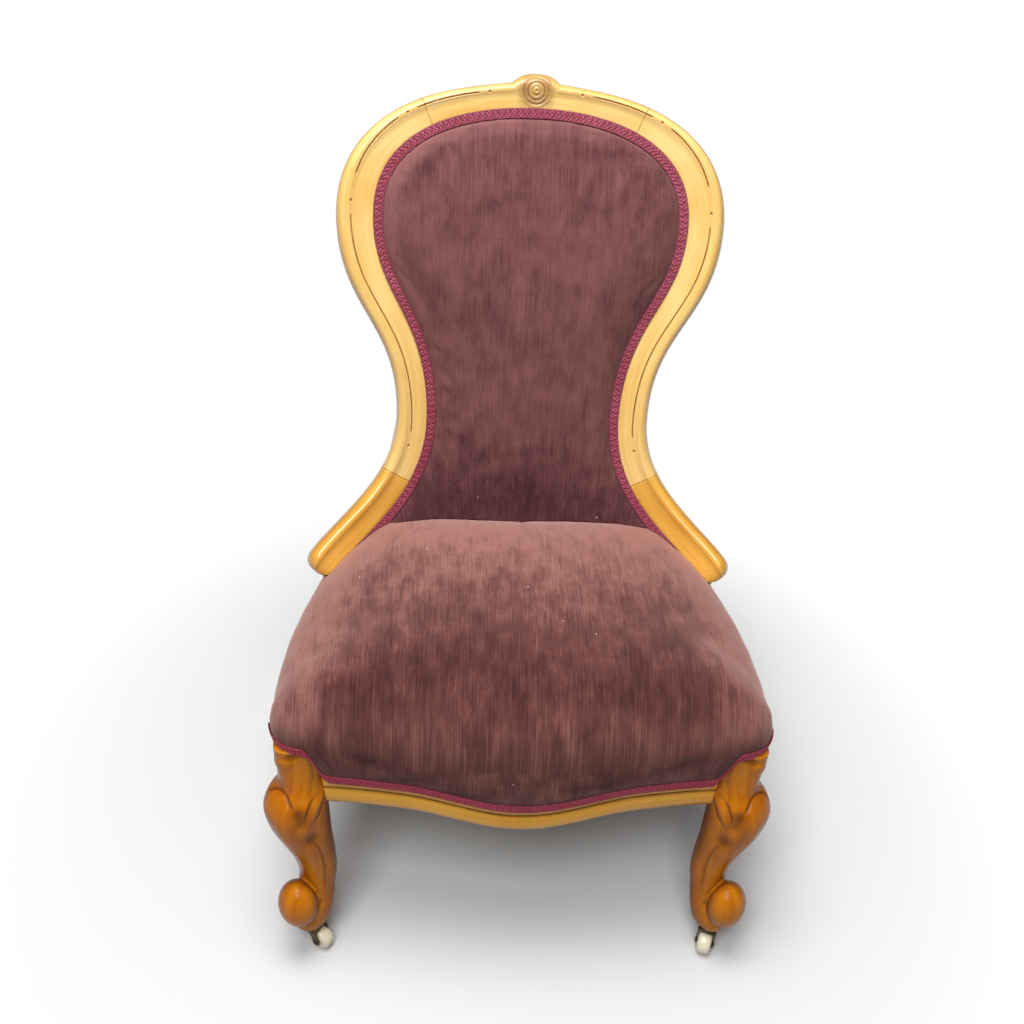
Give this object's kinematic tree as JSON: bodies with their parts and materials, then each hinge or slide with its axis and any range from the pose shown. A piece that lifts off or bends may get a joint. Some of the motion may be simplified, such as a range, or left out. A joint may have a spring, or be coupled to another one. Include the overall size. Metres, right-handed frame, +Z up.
{
  "type": "grandmother chair",
  "caption": "Low spoon-back chair with a show-wood frame, scrolled cabriole front legs, sprung velvet seat, gimp-edged back and castors.",
  "frame": {"origin": "on the floor, at the middle of the bounding box's bottom face", "axes": "+Z up, the front looks to -Y, +X to the viewer's right"},
  "size_m": [0.601, 0.6487, 0.9548],
  "materials": {
    "honey_wood": "honey-gold french polish",
    "amber_wood": "amber french polish",
    "plain_wood": "bare, unpolished",
    "velvet": "fine ribbed velvet pile",
    "gimp": "zig-zag woven braid",
    "hessian": "coarse plain weave",
    "stuffing": "loose curled hair",
    "webbing": "twill tape",
    "spring_steel": "dull wire",
    "old_brass": "darkened with age",
    "ivory_ceramic": "glazed"
  },
  "bodies": {
    "chair": {"crest_rail": "honey_wood", "left_back_post": "honey_wood", "right_back_post": "honey_wood", "front_seat_rail": "honey_wood", "left_arm": "amber_wood", "right_arm": "amber_wood", "left_front_leg": "amber_wood", "right_front_leg": "amber_wood", "left_seat_rail": "amber_wood", "right_seat_rail": "amber_wood", "back_seat_rail": "plain_wood", "lower_back_rail": "plain_wood", "front_left_corner_block": "plain_wood", "front_right_corner_block": "plain_wood", "rear_left_corner_block": "plain_wood", "rear_right_corner_block": "plain_wood", "webbing_front_to_back_1": "webbing", "webbing_front_to_back_2": "webbing", "webbing_front_to_back_3": "webbing", "webbing_side_to_side_1": "webbing", "webbing_side_to_side_2": "webbing", "webbing_side_to_side_3": "webbing", "seat_spring_1": "spring_steel", "seat_spring_2": "spring_steel", "seat_spring_3": "spring_steel", "seat_spring_4": "spring_steel", "seat_spring_5": "spring_steel", "spring_canvas": "hessian", "back_canvas": "hessian", "seat_stuffing": "stuffing", "back_stuffing": "stuffing", "seat_cover": "velvet", "back_cover": "velvet", "outside_back_cover": "velvet", "seat_braid": "gimp", "back_braid": "gimp", "front_left_castor_plate": "old_brass", "front_right_castor_plate": "old_brass", "rear_left_castor_plate": "old_brass", "rear_right_castor_plate": "old_brass"},
    "front_left_swivel": {"front_left_castor_horn": "old_brass", "front_left_castor_axle": "old_brass"},
    "front_left_roller": {"front_left_castor_wheel": "ivory_ceramic"},
    "front_right_swivel": {"front_right_castor_horn": "old_brass", "front_right_castor_axle": "old_brass"},
    "front_right_roller": {"front_right_castor_wheel": "ivory_ceramic"},
    "rear_left_swivel": {"rear_left_castor_horn": "old_brass", "rear_left_castor_axle": "old_brass"},
    "rear_left_roller": {"rear_left_castor_wheel": "ivory_ceramic"},
    "rear_right_swivel": {"rear_right_castor_horn": "old_brass", "rear_right_castor_axle": "old_brass"},
    "rear_right_roller": {"rear_right_castor_wheel": "ivory_ceramic"}
  },
  "joints": [
    {"name": "front_left_castor_swivel", "type": "hinge", "parent": "chair", "child": "front_left_swivel", "pos_m": [-0.258, -0.286, 0.045], "axis": [0, 0, 1], "continuous": true},
    {"name": "front_left_castor_roll", "type": "hinge", "parent": "front_left_swivel", "child": "front_left_roller", "pos_m": [-0.24414, -0.294, 0.0158], "axis": [0.5, 0.866, 0], "continuous": true},
    {"name": "front_right_castor_swivel", "type": "hinge", "parent": "chair", "child": "front_right_swivel", "pos_m": [0.258, -0.286, 0.045], "axis": [0, 0, 1], "continuous": true},
    {"name": "front_right_castor_roll", "type": "hinge", "parent": "front_right_swivel", "child": "front_right_roller", "pos_m": [0.25201, -0.30084, 0.0158], "axis": [0.9272, -0.3746, 0], "continuous": true},
    {"name": "rear_left_castor_swivel", "type": "hinge", "parent": "chair", "child": "rear_left_swivel", "pos_m": [-0.215, 0.292, 0.045], "axis": [0, 0, 1], "continuous": true},
    {"name": "rear_left_castor_roll", "type": "hinge", "parent": "rear_left_swivel", "child": "rear_left_roller", "pos_m": [-0.21086, 0.30745, 0.0158], "axis": [-0.9659, 0.2588, 0], "continuous": true},
    {"name": "rear_right_castor_swivel", "type": "hinge", "parent": "chair", "child": "rear_right_swivel", "pos_m": [0.215, 0.292, 0.045], "axis": [0, 0, 1], "continuous": true},
    {"name": "rear_right_castor_roll", "type": "hinge", "parent": "rear_right_swivel", "child": "rear_right_roller", "pos_m": [0.21086, 0.30745, 0.0158], "axis": [-0.9659, -0.2588, 0], "continuous": true}
  ]
}
